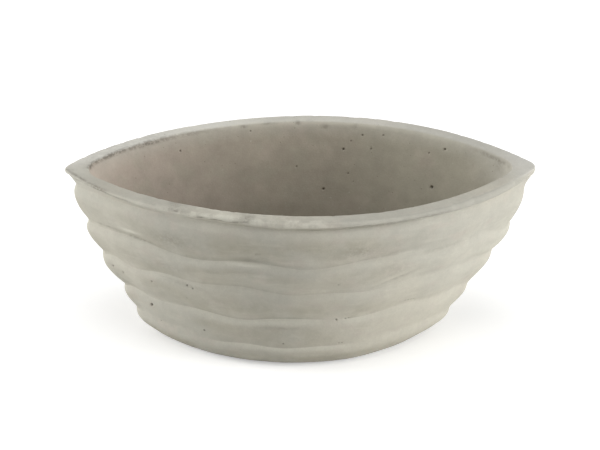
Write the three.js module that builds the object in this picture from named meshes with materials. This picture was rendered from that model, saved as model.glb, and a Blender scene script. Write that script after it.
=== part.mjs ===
// Concrete bowl planter: one boat-shaped casting with lapped tiers, a rubber drain plug and four foot pads.
// Millimetres, +Z up. The origin is on the ground, under the middle of the rim; +X runs to a pointed end.

import * as THREE from 'three';

// ---------- Driving dimensions ----------

// Rim, seen from above: two arcs that meet at the pointed ends.
const rimHalfLength = 200;
const rimHalfWidth = 109.5;
const rimTipRadius = 14;
const endFullness = 0.07;       // the +X half swells by this share of the width, the -X half thins by it
const footLean = 6.5;           // the foot stands this far towards -X of the rim's middle

// Lip: the flat rim with its thin face, undercut all round and most of all under the points.
const rimEdgeRound = 1.2;
const lipFace = 4.8;            // height of the face at the middle of a side
const lipFaceAtTips = 3.4;
const lipUndercut = 1.8;        // further depth to the foot of the undercut, at the middle of a side
const lipUndercutAtTips = 12;
const lipStepSide = 3.5;
const lipStepEnd = 9.5;
const lipWaves = [{ count: 1, height: 1.4, turn: 1.57 }, { count: 7, height: 0.6, turn: -0.1 }];

// Tiers, from the top down, each like a strip lapped over the next. Heights are at the middle of a side.
const topTierHeight = 37.2;
const secondTierHeight = 30.7;
const thirdTierHeight = 31.2;
const fourthTierHeight = 28.8;
const footTierHeight = 20;

// How far the foot of each tier steps in, at the pointed ends and at the middle of a side.
const topStepEnd = 10;
const topStepSide = 8.5;
const secondStepEnd = 13;
const secondStepSide = 10.5;
const thirdStepEnd = 19;
const thirdStepSide = 11.5;
const fourthStepEnd = 12.5;
const fourthStepSide = 5;
const footStepEnd = 18.5;
const footStepSide = 6.5;

// How far a tier swells past its plain slope: the two upper ones are the plumper.
const plumpBelly = 3.2;
const leanBelly = 1.9;
const shoulderRise = 0.75;      // below 1, a tier swells soonest at its head, as a rounded shoulder
const calmEnd = 0.25;           // the share of their swell and curl that tiers have lost at the +X point
const fullCurl = 1;             // a tier's foot turns right under
const slackCurl = 0.8;          // a tier's foot runs on towards the next

// endDrop is how much lower the foot of a tier lies at the points, and the waves are its hand-worked
// wander: sine waves round the bowl, each with its count, height and turn.
const tiers = [
  {
    height: topTierHeight, stepEnd: topStepEnd, stepSide: topStepSide,
    belly: plumpBelly, curl: fullCurl, endDrop: 6.5,
    waves: [{ count: 4, height: 2.2, turn: 2.8 }, { count: 10, height: 2.1, turn: -2.2 }],
  },
  {
    height: secondTierHeight, stepEnd: secondStepEnd, stepSide: secondStepSide,
    belly: plumpBelly, curl: fullCurl, endDrop: 1,
    waves: [
      { count: 1, height: -0.8, turn: 1.57 },
      { count: 5, height: 1.8, turn: 2.8 },
      { count: 14, height: 1.2, turn: -0.2 },
    ],
  },
  {
    height: thirdTierHeight, stepEnd: thirdStepEnd, stepSide: thirdStepSide,
    belly: leanBelly, curl: fullCurl, endDrop: 3,
    waves: [
      { count: 1, height: -0.8, turn: 1.57 },
      { count: 3, height: 1.9, turn: 0.8 },
      { count: 10, height: 1.5, turn: 1.5 },
    ],
  },
  {
    height: fourthTierHeight, stepEnd: fourthStepEnd, stepSide: fourthStepSide,
    belly: leanBelly, curl: slackCurl, endDrop: -1.8,
    waves: [{ count: 3, height: 2.3, turn: 0.8 }, { count: 14, height: 0.6, turn: -0.1 }],
  },
  {
    height: footTierHeight, stepEnd: footStepEnd, stepSide: footStepSide,
    belly: leanBelly, curl: fullCurl, endDrop: 0,
    waves: [],
  },
];
const tierTipRadius = 13;       // of the wall under the lip, where two sides meet at a point
const dropSharpness = 6;        // how closely a drop keeps to the pointed ends
const footRound = 1.5;          // rounded bottom edge of the casting

// Hollow
const wall = 14;                // at the rim
const wallAtFloor = 17;
const hollowTipRadius = 24;
const hollowTipShare = 0.75;    // the most that the tip's radius takes of the hollow's half width
const floorThickness = 18;
const floorBend = 22;           // width of the curve where the wall turns into the floor
const floorBendRise = 0.25;     // the curve starts at least this share of its width above the floor
const floorMargin = 3;          // flat floor left round the plug's flange

// Drain and plug
const drainRadius = 10;
const plugClearance = 0.3;      // between the plug's stem and the drain, all round
const plugTaper = 0.8;          // the stem's foot is this much smaller in radius than its head
const plugRecess = 2;           // the stem ends this far above the underside
const plugFlangeOverlap = 5;    // how far the flange covers the floor round the drain
const plugFlangeThickness = 3;
const plugKnobRadius = 5.5;
const plugNeckRadius = 3.5;
const plugNeckHeight = 5;
const plugEdgeRound = 0.8;

// Foot pads
const padRadius = 10;
const padThickness = 2;
const padEdgeRound = 0.4;
const padFromTip = 60;          // from the foot's pointed end to the middle of a pad
const padFromEdge = 8;          // bare concrete between a pad and the long edge

// Facets
const facetsPerSide = 36;
const facetsPerTip = 8;
const facetsPerTier = 6;
const facetCrowding = 1.3;      // above 1, facets crowd towards the head of a tier, where it is roundest
const facetsDownHollow = 7;
const facetsRoundBend = 5;
const facetsPerPad = 24;
const facetsRoundPlug = 32;
const facetsPerCorner = 4;

// ---------- Derived levels ----------

const sum = (values) => values.reduce((total, value) => total + value, 0);

const lipDepth = lipFace + lipUndercut;
const castingHeight = lipDepth + sum(tiers.map((tier) => tier.height));
const rimLevel = padThickness + castingHeight;
const undersideLevel = padThickness;
const floorLevel = undersideLevel + floorThickness;

const flangeRadius = drainRadius + plugFlangeOverlap;

// How far the middle of the bowl has moved towards -X at a given level: more and more towards the foot.
const leanAt = (level) => -footLean * ((rimLevel - level) / castingHeight) ** 2;

// ---------- Outlines ----------

// An outline is two arcs whose ends are joined round small tips. It is kept as the sharp core that the
// tips' radius grows from.
function lensOutline(halfLength, halfWidth, tipRadius) {
  const coreLength = halfLength - tipRadius;
  const coreWidth = halfWidth - tipRadius;
  const sideAngle = 2 * Math.atan2(coreWidth, coreLength);
  return {
    halfLength, halfWidth, tipRadius, coreLength, coreWidth, sideAngle,
    coreArcRadius: coreLength / Math.sin(sideAngle),
    fullness: endFullness,
  };
}

// The same outline moved inwards by a wall, with the arcs kept concentric and tips of a new radius.
function insetOutline(outline, thickness, tipRadius) {
  const arcCentre = outline.coreArcRadius - outline.coreWidth;
  const coreArcRadius = outline.coreArcRadius + outline.tipRadius - thickness - tipRadius;
  const coreLength = Math.sqrt(coreArcRadius ** 2 - arcCentre ** 2);
  const coreWidth = coreArcRadius - arcCentre;
  return lensOutline(coreLength + tipRadius, coreWidth + tipRadius, tipRadius);
}

// A circle with its points at the same bearings as another outline, so that the two can be lofted.
function circleOutline(radius, like) {
  return {
    halfLength: radius, halfWidth: radius, tipRadius: radius, coreLength: 0, coreWidth: 0,
    sideAngle: like.sideAngle, coreArcRadius: 0, fullness: 0,
  };
}

// Points of an outline, anticlockwise from the +X tip seen from above, with outward normals.
function outlinePoints(outline) {
  const tipAngle = Math.PI / 2 - outline.sideAngle;
  const arcCentre = outline.coreArcRadius - outline.coreWidth;
  const arcRadius = outline.coreArcRadius + outline.tipRadius;
  const points = [];
  const add = (centreX, centreY, radius, angle) => {
    const normal = new THREE.Vector2(Math.cos(angle), Math.sin(angle));
    const x = centreX + radius * normal.x;
    const along = x / rimHalfLength;
    const swell = 1 + outline.fullness * along * (1 - along ** 2);
    points.push({ x, y: (centreY + radius * normal.y) * swell, normal });
  };
  for (const end of [0, Math.PI]) {
    const tipX = end === 0 ? outline.coreLength : -outline.coreLength;
    for (let i = 0; i < facetsPerTip; i += 1) {
      const turn = -tipAngle + 2 * tipAngle * i / facetsPerTip;
      add(tipX, 0, outline.tipRadius, end + turn);
    }
    const side = end === 0 ? -1 : 1;
    for (let i = 0; i < facetsPerSide; i += 1) {
      const turn = tipAngle + 2 * outline.sideAngle * i / facetsPerSide;
      add(0, side * arcCentre, arcRadius, end + turn);
    }
  }
  return points;
}

// ---------- Rings ----------

// A level ring of the bowl.
function levelRing(outline, level, shift = leanAt(level)) {
  return outlinePoints(outline).map(({ x, y, normal }) => ({
    position: new THREE.Vector3(x + shift, y, level),
    normal,
  }));
}

// A ring that hangs lower at the pointed ends and wanders up and down in waves.
function wanderingRing(outline, depth, endDrop, waves) {
  const shift = leanAt(rimLevel - depth);
  return outlinePoints(outline).map(({ x, y, normal }) => {
    const along = THREE.MathUtils.clamp(x / outline.halfLength, -1, 1);
    const bearing = (y < 0 ? -1 : 1) * Math.acos(along);
    const wander = sum(waves.map((wave) => wave.height * Math.sin(wave.count * bearing + wave.turn)));
    const drop = endDrop * Math.abs(along) ** dropSharpness;
    const level = rimLevel - depth - drop - wander;
    return { position: new THREE.Vector3(x + shift, y, level), normal };
  });
}

// A point between two others: inward is the share of the step in, down the share of the way down, and
// swell is added outwards.
function pointBetween({ position, normal }, foot, inward, down, swell = 0) {
  return {
    position: new THREE.Vector3(
      THREE.MathUtils.lerp(position.x, foot.position.x, inward) + swell * normal.x,
      THREE.MathUtils.lerp(position.y, foot.position.y, inward) + swell * normal.y,
      THREE.MathUtils.lerp(position.z, foot.position.z, down),
    ),
    normal,
  };
}

function ringBetween(upper, lower, inward, down) {
  return upper.map((point, i) => pointBetween(point, lower[i], inward, down));
}

// One closed skin through rings that follow each other round the section, the last joined to the first.
function loft(rings) {
  const count = rings[0].length;
  const positions = rings.flatMap((ring) => ring.flatMap(({ position }) => position.toArray()));
  const index = [];
  rings.forEach((ring, r) => {
    const here = r * count;
    const next = ((r + 1) % rings.length) * count;
    for (let i = 0; i < count; i += 1) {
      const j = (i + 1) % count;
      index.push(here + i, here + j, next + j);
      index.push(here + i, next + j, next + i);
    }
  });
  const geometry = new THREE.BufferGeometry();
  geometry.setAttribute('position', new THREE.Float32BufferAttribute(positions, 3));
  geometry.setIndex(index);
  geometry.computeVertexNormals();
  return geometry;
}

// ---------- Casting ----------

const rimOutline = lensOutline(rimHalfLength, rimHalfWidth, rimTipRadius);

// The ledges: the foot of the undercut, then the foot of each tier.
function ledgeLevels() {
  const ledges = [{
    outline: lensOutline(rimHalfLength - lipStepEnd, rimHalfWidth - lipStepSide, tierTipRadius),
    depth: lipDepth,
    endDrop: lipFaceAtTips + lipUndercutAtTips - lipDepth,
    waves: lipWaves,
  }];
  for (const tier of tiers) {
    const above = ledges.at(-1);
    ledges.push({
      outline: lensOutline(
        above.outline.halfLength - tier.stepEnd,
        above.outline.halfWidth - tier.stepSide,
        tierTipRadius,
      ),
      depth: above.depth + tier.height,
      endDrop: tier.endDrop,
      waves: tier.waves,
    });
  }
  return ledges;
}

const ledges = ledgeLevels();
const footOutline = ledges.at(-1).outline;

const hollowTipAt = (halfWidth) => Math.min(hollowTipRadius, halfWidth * hollowTipShare);

// Rings of the lip, from the foot of its undercut up to the flat of the rim.
function lipRings(undercutFoot) {
  const faceDrop = lipFaceAtTips - lipFace;
  const faceFoot = wanderingRing(rimOutline, lipFace, faceDrop, lipWaves);
  const faceHead = levelRing(rimOutline, rimLevel - rimEdgeRound);
  const roundMiddle = insetOutline(rimOutline, rimEdgeRound * (1 - Math.SQRT1_2), rimTipRadius);
  return [
    ringBetween(faceFoot, undercutFoot, 0.5, 0.4),
    faceFoot,
    faceHead,
    levelRing(roundMiddle, rimLevel - rimEdgeRound * (1 - Math.SQRT1_2)),
    levelRing(insetOutline(rimOutline, rimEdgeRound, rimTipRadius), rimLevel),
  ];
}

// Rings of one tier from its foot up to just below its head. The wall swells into a shoulder under the
// head and curls in at the foot, and both grow calmer towards the +X point.
function tierRings(head, foot, { belly, curl }) {
  const rings = [];
  for (let i = facetsPerTier; i > 0; i -= 1) {
    const down = (i / facetsPerTier) ** facetCrowding;
    const curled = 1 - Math.cos(down * Math.PI / 2);
    const swollen = Math.sin(Math.PI * down ** shoulderRise);
    rings.push(head.map((point, j) => {
      const lively = 1 - calmEnd * Math.max(0, point.position.x / rimHalfLength);
      const inward = THREE.MathUtils.lerp(down, curled, curl * lively);
      return pointBetween(point, foot[j], inward, down, belly * lively * swollen);
    }));
  }
  return rings;
}

// The hollow inside an outline. Its tips are rounded as far as its width lets them be.
function hollowOutline(outline, thickness) {
  const halfWidth = outline.halfWidth - thickness;
  return insetOutline(outline, thickness, hollowTipAt(halfWidth));
}

// The hollow's smooth inside, as outlines and levels from the rim down to the flat of the floor.
function hollowRings() {
  const floorDepth = rimLevel - floorLevel;
  const bendDepth = floorDepth - floorBend * floorBendRise;
  const stations = ledges.slice(1).filter(({ depth }) => depth < bendDepth);
  const wallAt = (depth) => THREE.MathUtils.lerp(wall, wallAtFloor, depth / floorDepth);
  const section = (outline, thickness, depth) => {
    const inner = hollowOutline(outline, thickness);
    return new THREE.Vector3(inner.halfLength, inner.halfWidth, rimLevel - depth);
  };
  const head = section(rimOutline, wall, rimEdgeRound);
  const upper = [head, ...stations.map(({ outline, depth }) => section(outline, wallAt(depth), depth))];
  const bendStart = upper.at(-1);
  const belowBend = ledges.find(({ depth }) => depth >= bendDepth);
  const corner = section(belowBend.outline, wallAtFloor, floorDepth);
  const bendWidth = Math.min(floorBend, corner.y - flangeRadius - floorMargin);
  const floorEdge = section(belowBend.outline, wallAtFloor + bendWidth, floorDepth);
  const down = new THREE.CatmullRomCurve3(upper).getPoints(facetsDownHollow);
  const bend = new THREE.QuadraticBezierCurve3(bendStart, corner, floorEdge).getPoints(facetsRoundBend);
  return [...down, ...bend.slice(1)].map(({ x, y, z }) => levelRing(lensOutline(x, y, hollowTipAt(y)), z));
}

// Drain hole at the middle of the foot.
const drainX = leanAt(undersideLevel);

function castingGeometry() {
  const ledgeRings = ledges.map(({ outline, depth, endDrop, waves }) => (
    wanderingRing(outline, depth, endDrop, waves)
  ));
  const outside = [];
  for (let i = ledgeRings.length - 1; i > 0; i -= 1) {
    outside.push(...tierRings(ledgeRings[i - 1], ledgeRings[i], tiers[i - 1]));
  }
  const foot = outside.shift();
  const footFlat = insetOutline(footOutline, footRound, footOutline.tipRadius);
  const footRings = [
    levelRing(footFlat, undersideLevel),
    ringBetween(foot, foot, 0, 0).map(({ position, normal }) => ({
      position: position.setZ(undersideLevel + footRound),
      normal,
    })),
  ];
  const hollow = hollowRings();
  const rimInside = hollowOutline(rimOutline, wall - rimEdgeRound);
  const drain = circleOutline(drainRadius, footFlat);
  return loft([
    levelRing(drain, undersideLevel, drainX),
    ...footRings,
    ...outside,
    ledgeRings[0],
    ...lipRings(ledgeRings[0]),
    levelRing(rimInside, rimLevel),
    ...hollow,
    levelRing(drain, floorLevel, drainX),
  ]);
}

// ---------- Drain plug ----------

// Quarter-circle points from one direction to another, for a rounded corner of a turned profile.
function corner(centreX, centreY, radius, fromAngle, toAngle) {
  const points = [];
  for (let i = 0; i <= facetsPerCorner; i += 1) {
    const angle = THREE.MathUtils.lerp(fromAngle, toAngle, i / facetsPerCorner);
    points.push(new THREE.Vector2(centreX + radius * Math.cos(angle), centreY + radius * Math.sin(angle)));
  }
  return points;
}

// Turned about its own axis, with its height measured from the underside of the flange.
function plugGeometry() {
  const stemRadius = drainRadius - plugClearance;
  const stemFootRadius = stemRadius - plugTaper;
  const stemLength = floorThickness - plugRecess;
  const flangeTop = plugFlangeThickness;
  const neckTop = flangeTop + plugNeckHeight;
  const knobCentre = neckTop + Math.sqrt(plugKnobRadius ** 2 - plugNeckRadius ** 2);
  const knobStart = -Math.acos(plugNeckRadius / plugKnobRadius);
  const profile = [
    new THREE.Vector2(0, -stemLength),
    ...corner(stemFootRadius - plugEdgeRound, plugEdgeRound - stemLength, plugEdgeRound, -Math.PI / 2, 0),
    new THREE.Vector2(stemRadius, 0),
    new THREE.Vector2(flangeRadius, 0),
    ...corner(flangeRadius - plugEdgeRound, flangeTop - plugEdgeRound, plugEdgeRound, 0, Math.PI / 2),
    new THREE.Vector2(plugNeckRadius, flangeTop),
    ...corner(0, knobCentre, plugKnobRadius, knobStart, 0),
    ...corner(0, knobCentre, plugKnobRadius, 0, Math.PI / 2).slice(1, -1),
    new THREE.Vector2(0, knobCentre + plugKnobRadius),
  ];
  const turned = new THREE.LatheGeometry(profile, facetsRoundPlug);
  return turned.rotateX(Math.PI / 2);
}

// ---------- Foot pads ----------

// Turned about its own axis, from the ground up: the edge that meets the ground is rounded.
function padGeometry() {
  const profile = [
    new THREE.Vector2(0, 0),
    ...corner(padRadius - padEdgeRound, padEdgeRound, padEdgeRound, -Math.PI / 2, 0),
    new THREE.Vector2(padRadius, padThickness),
    new THREE.Vector2(0, padThickness),
  ];
  return new THREE.LatheGeometry(profile, facetsPerPad).rotateX(Math.PI / 2);
}

// The foot's half width where a pad sits.
function footHalfWidthAt(distance) {
  const arcRadius = footOutline.coreArcRadius + footOutline.tipRadius;
  const arcCentre = footOutline.coreArcRadius - footOutline.coreWidth;
  return Math.sqrt(arcRadius ** 2 - distance ** 2) - arcCentre;
}

function padPlaces() {
  const padX = footOutline.halfLength - padFromTip;
  const padY = footHalfWidthAt(padX + padRadius) - padFromEdge - padRadius;
  return [[padX, padY], [-padX, padY], [-padX, -padY], [padX, -padY]];
}

// ---------- Materials ----------

const concrete = new THREE.MeshStandardMaterial({ color: 0xb4b2a5, roughness: 0.92, metalness: 0 });
const plugRubber = new THREE.MeshStandardMaterial({ color: 0x2e2d2b, roughness: 0.7, metalness: 0 });
const padFoam = new THREE.MeshStandardMaterial({ color: 0x3a3937, roughness: 0.85, metalness: 0 });

// ---------- Assembly ----------

const planter = new THREE.Group();
planter.name = 'concrete_bowl_planter';

const bowl = new THREE.Mesh(castingGeometry(), concrete);
bowl.name = 'bowl';
planter.add(bowl);

const drainPlug = new THREE.Mesh(plugGeometry(), plugRubber);
drainPlug.name = 'drain_plug';
drainPlug.position.set(drainX, 0, floorLevel);
planter.add(drainPlug);

padPlaces().forEach(([x, y], i) => {
  const pad = new THREE.Mesh(padGeometry(), padFoam.clone());
  pad.name = `foot_pad_${i + 1}`;
  pad.position.set(drainX + x, y, 0);
  planter.add(pad);
});

export default planter;
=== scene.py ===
"""Looks of a concrete bowl planter: the fine casting with its air pits, the plug and the foam pads."""

import math
from collections import namedtuple
from functools import cache

import bmesh
import bpy
import numpy as np
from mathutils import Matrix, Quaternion, Vector, noise


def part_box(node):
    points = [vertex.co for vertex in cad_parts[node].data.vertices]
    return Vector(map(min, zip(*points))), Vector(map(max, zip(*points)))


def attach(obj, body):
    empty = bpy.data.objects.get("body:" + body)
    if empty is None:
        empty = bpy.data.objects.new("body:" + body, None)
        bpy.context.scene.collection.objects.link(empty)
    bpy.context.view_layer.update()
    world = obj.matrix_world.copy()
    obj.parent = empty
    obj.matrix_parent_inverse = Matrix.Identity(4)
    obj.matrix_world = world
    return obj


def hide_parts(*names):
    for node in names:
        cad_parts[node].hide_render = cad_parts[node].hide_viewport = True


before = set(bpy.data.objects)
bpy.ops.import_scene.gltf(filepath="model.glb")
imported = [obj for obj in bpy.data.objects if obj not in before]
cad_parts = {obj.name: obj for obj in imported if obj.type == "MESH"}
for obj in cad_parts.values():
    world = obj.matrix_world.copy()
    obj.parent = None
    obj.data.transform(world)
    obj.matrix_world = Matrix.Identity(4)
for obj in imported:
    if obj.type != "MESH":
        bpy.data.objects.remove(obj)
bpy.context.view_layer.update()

MM = 0.001

# ---------- Sizes of the casting, in millimetres ----------

bowl_low, bowl_high = (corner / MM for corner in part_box("bowl"))
RIM_LEVEL = bowl_high.z
UNDERSIDE = bowl_low.z
CASTING_HEIGHT = RIM_LEVEL - UNDERSIDE
RIM_HALF_LENGTH = (bowl_high.x - bowl_low.x) / 2
RIM_HALF_WIDTH = 109.5
RIM_TIP_RADIUS = 14
END_FULLNESS = 0.07
FOOT_LEAN = 6.5

RIM_EDGE_ROUND = 1.2
NEAR_EDGE_ROLL = 0.75       # the share of the near side's lip face that its outer edge rolls over
NEAR_SIDE = (-40, 10)       # the near side turns into the rest between these, across the bowl
FAR_EDGE_ROLL = 3.4         # radius of the rolled inner edge on the far side
FAR_SIDE = (0, 40)          # the far side begins between these
LIP_FACE = 4.8
LIP_FACE_AT_TIPS = 3.4
LIP_UNDERCUT = 1.8
LIP_UNDERCUT_AT_TIPS = 12
LIP_STEP_SIDE = 3.5
LIP_STEP_END = 9.5

Wave = namedtuple("Wave", "count height turn")
LIP_WAVES = [Wave(1, 1.4, 1.57), Wave(7, 0.6, -0.1)]

Tier = namedtuple("Tier", "height step_end step_side belly curl end_drop waves")
TIERS = [
    Tier(37.2, 10, 8.5, 3.2, 1, 6.5, [Wave(4, 2.2, 2.8), Wave(10, 2.1, -2.2)]),
    Tier(30.7, 13, 10.5, 3.2, 1, 1, [Wave(1, -0.8, 1.57), Wave(5, 1.8, 2.8), Wave(14, 1.2, -0.2)]),
    Tier(31.2, 19, 11.5, 1.9, 1, 3, [Wave(1, -0.8, 1.57), Wave(3, 1.9, 0.8), Wave(10, 1.5, 1.5)]),
    Tier(28.8, 12.5, 5, 1.9, 0.8, -1.8, [Wave(3, 2.3, 0.8), Wave(14, 0.6, -0.1)]),
    Tier(20, 18.5, 6.5, 1.9, 1, 0, []),
]
SHOULDER_RISE = 0.75
CALM_END = 0.25
TIER_TIP_RADIUS = 13
DROP_SHARPNESS = 6
FOOT_ROUND = 1.5

WALL = 14
WALL_AT_FLOOR = 17
HOLLOW_TIP_RADIUS = 24
HOLLOW_TIP_SHARE = 0.75
FLOOR_THICKNESS = 18
FLOOR_BEND = 22
FLOOR_BEND_RISE = 5.5

DRAIN_RADIUS = 10
PLUG_CLEARANCE = 0.3
PLUG_TAPER = 0.8
PLUG_RECESS = 2
FLANGE_RADIUS = 15
FLANGE_THICKNESS = 3
FLANGE_DRAFT = 0.3
BEAD_INSET = 4
BEAD_SINK = 0.25
KNOB_RADIUS = 5.5
KNOB_STEPS = 16
NECK_RADIUS = 3.5
NECK_HEIGHT = 5
NECK_FILLET = 1.2
MOULDED_ROUND = 0.8
GROOVES = (0.3, 0.5, 0.7)   # places of the stem's grooves, as shares of its length from its foot
GROOVE_DEPTH = 0.7
GROOVE_MOUTH = 1            # half the height of a groove at its mouth, and at its floor
GROOVE_FLOOR = 0.4
DIMPLE_DEPTH = 1.5          # the dimple in the stem's foot
DIMPLE_WALL = 2.5           # the wall round it at its mouth, and at its top
DIMPLE_WALL_TOP = 3.5

PAD_CROWN = 0.05            # how far the underside of a pad curves up towards its edge
PAD_CROWN_END = 3           # from the edge: where that begins, and where it is complete
PAD_CROWN_START = 1.2
PAD_ROLL = 0.57
PAD_DRAFT = 0.03
PAD_BEVEL = 0.3
PAD_BEVEL_HEIGHT = 0.4
PAD_STEPS = 72

FLOOR_LEVEL = UNDERSIDE + FLOOR_THICKNESS

# Fineness of the casting's mesh
SIDE_POINTS = 202
TIP_POINTS = 18
ROWS_PER_TIER = 17
ROW_CROWDING = 0.6          # how far the rows of a tier crowd towards its head and foot
ROWS_ROUND_FOOT = 3
ROWS_ROUND_LIP = 5
ROWS_ACROSS_RIM = 9
ROWS_DOWN_HOLLOW = 50
ROWS_TO_RIM = 1.25          # above 1, the rows of the hollow crowd towards the rim
ROWS_ROUND_BEND = 10
ROWS_ON_FLOOR = 9
ROWS_DOWN_DRAIN = 2
ROWS_UNDERNEATH = 5
INNER_EDGE_ROWS = (0, 0.1, 0.3, 0.6)

# Rings of the lip's undercut, from its foot up. Each lies part of the way from the foot of the lip's
# face to the foot of the undercut, by one share inwards and one down, and counts as so far down a tier.
UNDERCUT_ROWS = [(0.8, 0.75, 1), (0.5, 0.4, 0.9), (0.2, 0.12, 0.6)]

# How worn the casting is, from 0 to 1
EDGE_WEAR = 1
FOOT_WEAR = 0.6
LIP_FOOT_WEAR = 0.4
LIP_FACE_WEAR = 0.3
RIM_TOP_WEAR = 0.35


# ---------- Outlines and rings ----------


class Outline:
    """Two arcs that meet in rounded tips, seen from above."""

    def __init__(self, half_length, half_width, tip_radius):
        self.half_length = half_length
        self.half_width = half_width
        self.tip_radius = tip_radius
        self.core_length = half_length - tip_radius
        core_width = half_width - tip_radius
        self.side_angle = 2 * math.atan2(core_width, self.core_length)
        core_arc = self.core_length / math.sin(self.side_angle)
        self.arc_centre = core_arc - core_width
        self.arc_radius = core_arc + tip_radius
        self.fullness = END_FULLNESS

    def inset(self, thickness, tip_radius):
        """The outline moved inwards, with its arcs kept concentric and tips of a new radius."""
        core_arc = self.arc_radius - thickness - tip_radius
        core_length = math.sqrt(core_arc**2 - self.arc_centre**2)
        core_width = core_arc - self.arc_centre
        return Outline(core_length + tip_radius, core_width + tip_radius, tip_radius)

    def hollow(self, thickness):
        """The hollow inside the outline, whose tips are as round as its width lets them be."""
        return self.inset(thickness, hollow_tip(self.half_width - thickness))

    def points(self):
        """x, y and the outward direction round the outline, anticlockwise from the +X tip."""
        tip_angle = math.pi / 2 - self.side_angle
        tip_turns = np.linspace(-tip_angle, tip_angle, TIP_POINTS, endpoint=False)
        side_end = tip_angle + 2 * self.side_angle
        side_turns = np.linspace(tip_angle, side_end, SIDE_POINTS, endpoint=False)
        x, y, outward = [], [], []
        for end, sign in ((0, 1), (math.pi, -1)):
            for turns, radius, centre in (
                (tip_turns, self.tip_radius, (sign * self.core_length, 0)),
                (side_turns, self.arc_radius, (0, -sign * self.arc_centre)),
            ):
                angle = end + turns
                x.append(centre[0] + radius * np.cos(angle))
                y.append(centre[1] + radius * np.sin(angle))
                outward.append(np.stack([np.cos(angle), np.sin(angle)], 1))
        x = np.concatenate(x)
        along = x / RIM_HALF_LENGTH
        swell = 1 + self.fullness * along * (1 - along**2)
        return x, np.concatenate(y) * swell, np.concatenate(outward)


def hollow_tip(half_width):
    return min(HOLLOW_TIP_RADIUS, half_width * HOLLOW_TIP_SHARE)


def drain_outline(radius, like):
    """A circle with its points at the same bearings as another outline."""
    circle = Outline(radius * 2, radius * 2, radius)
    circle.core_length = 0
    circle.arc_centre = 0
    circle.arc_radius = radius
    circle.side_angle = like.side_angle
    circle.fullness = 0
    return circle


def lean_at(level):
    return -FOOT_LEAN * ((RIM_LEVEL - level) / CASTING_HEIGHT) ** 2


class Ring:
    """Points round the bowl, each with its outward direction seen from above."""

    def __init__(self, places, outward, ledge=None):
        self.places = places
        self.outward = outward
        self.ledge = ledge          # the number of the ledge that the ring is the foot of

    def towards(self, other, inward, down, swell=0):
        """A ring part of the way to another: inward is the share sideways, down the share in height.

        A swell pushes it outwards.
        """
        share = np.stack(np.broadcast_arrays(inward, inward, down), -1)
        places = self.places + (other.places - self.places) * share
        places[:, :2] += np.reshape(swell, (-1, 1)) * self.outward
        return Ring(places, self.outward)


def level_ring(outline, level, shift=None):
    x, y, outward = outline.points()
    shift = lean_at(level) if shift is None else shift
    return Ring(np.stack([x + shift, y, np.full_like(x, level)], 1), outward)


def wandering_ring(outline, depth, end_drop, waves):
    """A ring that hangs lower at the pointed ends and wanders up and down in waves."""
    x, y, outward = outline.points()
    along = np.clip(x / outline.half_length, -1, 1)
    bearing = np.where(y < 0, -1, 1) * np.arccos(along)
    level = RIM_LEVEL - depth - end_drop * np.abs(along) ** DROP_SHARPNESS
    for wave in waves:
        level = level - wave.height * np.sin(wave.count * bearing + wave.turn)
    return Ring(np.stack([x + lean_at(RIM_LEVEL - depth), y, level], 1), outward)


# How the hand moved a ledge up or down on the near side: the ledge, from 0 under the lip to 4 above the
# foot, the middle and the reach of the change along the bowl, and its lift.
Nudge = namedtuple("Nudge", "ledge x reach lift")
LIP_NUDGES = [Nudge(0, -165, 28, 1.1)]
LEDGE_NUDGES = [
    Nudge(1, -170, 16, 3),
    Nudge(1, -50, 20, 1),
    Nudge(1, 0, 16, -1.2),
    Nudge(2, -157, 14, 2.5),
    Nudge(2, -42, 26, 2),
    Nudge(3, -28, 18, 2),
    Nudge(4, -45, 26, 1.8),
]
NUDGE_FADE = 12             # a nudge eases in over this much on either side of the bowl's long axis


def nudge(ring, nudges):
    """Lifts a ring's near side where the hand moved it."""
    x, y, _ = ring.places.T
    share = smooth_step(-NUDGE_FADE, NUDGE_FADE, -y)
    for change in nudges:
        ring.places[:, 2] += change.lift * share * np.exp(-(((x - change.x) / change.reach) ** 2))


# ---------- The casting, ring by ring ----------

# What each ring of the casting is like, for its dents, air pits and colour. inside is 1 in the hollow,
# worn says how worn it is, lap runs from 0 at the head of a tier to 1 at its foot, and true is 1 where
# the mould's own face is kept.
Finish = namedtuple("Finish", "inside worn lap true")
OUTSIDE = Finish(inside=0, worn=0, lap=0, true=0)
INSIDE = Finish(inside=1, worn=0, lap=0, true=0)
HIDDEN = Finish(inside=0, worn=0, lap=0, true=1)

Ledge = namedtuple("Ledge", "outline depth end_drop waves")


def find_ledges():
    """The foot of the lip's undercut, then the foot of each tier."""
    half_length = RIM_HALF_LENGTH - LIP_STEP_END
    half_width = RIM_HALF_WIDTH - LIP_STEP_SIDE
    depth = LIP_FACE + LIP_UNDERCUT
    end_drop = LIP_FACE_AT_TIPS + LIP_UNDERCUT_AT_TIPS - depth
    outline = Outline(half_length, half_width, TIER_TIP_RADIUS)
    ledges = [Ledge(outline, depth, end_drop, LIP_WAVES)]
    for tier in TIERS:
        half_length -= tier.step_end
        half_width -= tier.step_side
        depth += tier.height
        outline = Outline(half_length, half_width, TIER_TIP_RADIUS)
        ledges.append(Ledge(outline, depth, tier.end_drop, tier.waves))
    return ledges


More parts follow.
